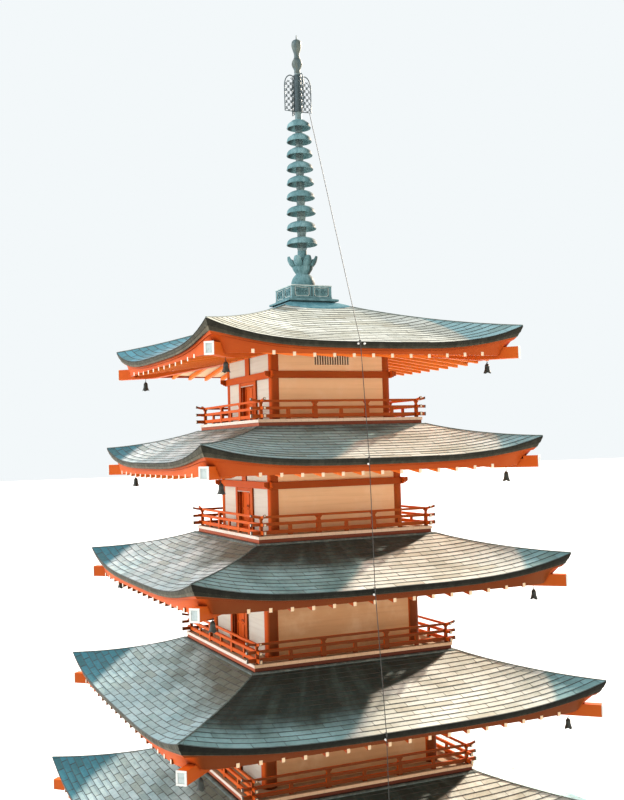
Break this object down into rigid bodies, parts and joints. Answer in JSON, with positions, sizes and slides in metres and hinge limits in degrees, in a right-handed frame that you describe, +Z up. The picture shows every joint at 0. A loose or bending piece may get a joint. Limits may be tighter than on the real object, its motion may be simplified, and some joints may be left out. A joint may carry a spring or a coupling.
{
  "type": "pagoda",
  "caption": "Square tiered timber pagoda with curved copper-sheet roofs, railed balconies, plastered walls, wind bells and a tall ringed spire on a stone base.",
  "frame": {"origin": "centre of the stone base at ground level", "axes": "+Z up; -Y and +Y towards the walls with doors and steps, +X and -X towards the plain walls"},
  "size_m": [9.419, 9.36, 19.515],
  "materials": {
    "stone": "cut stone, weathered",
    "deck_paint": "pale oil paint on boards",
    "vermilion": "vermilion paint on timber",
    "plaster": "lime plaster",
    "copper": "copper sheet with patina",
    "bronze": "bronze with patina",
    "wire": "dark stranded wire"
  },
  "bodies": {
    "root": {"podium": "stone", "steps_front": "stone", "steps_back": "stone", "deck_1": "deck_paint", "deck_2": "deck_paint", "deck_3": "deck_paint", "deck_4": "deck_paint", "deck_5": "deck_paint", "railing_1_right": "vermilion", "railing_1_left": "vermilion", "railing_2": "vermilion", "railing_3": "vermilion", "railing_4": "vermilion", "railing_5": "vermilion", "walls_1": "plaster", "walls_2": "plaster", "walls_3": "plaster", "walls_4": "plaster", "walls_5": "plaster", "frame_1": "vermilion", "frame_2": "vermilion", "frame_3": "vermilion", "frame_4": "vermilion", "frame_5": "vermilion", "door_1_front": "vermilion", "door_1_back": "vermilion", "door_2_front": "vermilion", "door_2_back": "vermilion", "door_3_front": "vermilion", "door_3_back": "vermilion", "door_4_front": "vermilion", "door_4_back": "vermilion", "door_5_front": "vermilion", "door_5_back": "vermilion", "eaves_1": "vermilion", "eaves_2": "vermilion", "eaves_3": "vermilion", "eaves_4": "vermilion", "eaves_5": "vermilion", "roof_1": "copper", "roof_2": "copper", "roof_3": "copper", "roof_4": "copper", "roof_5": "copper", "spire_box": "bronze", "spire_bowl": "bronze", "spire_lotus": "bronze", "spire_rings": "bronze", "spire_fins": "bronze", "spire_jewel": "bronze", "lightning_conductor": "wire"}
  },
  "joints": []
}
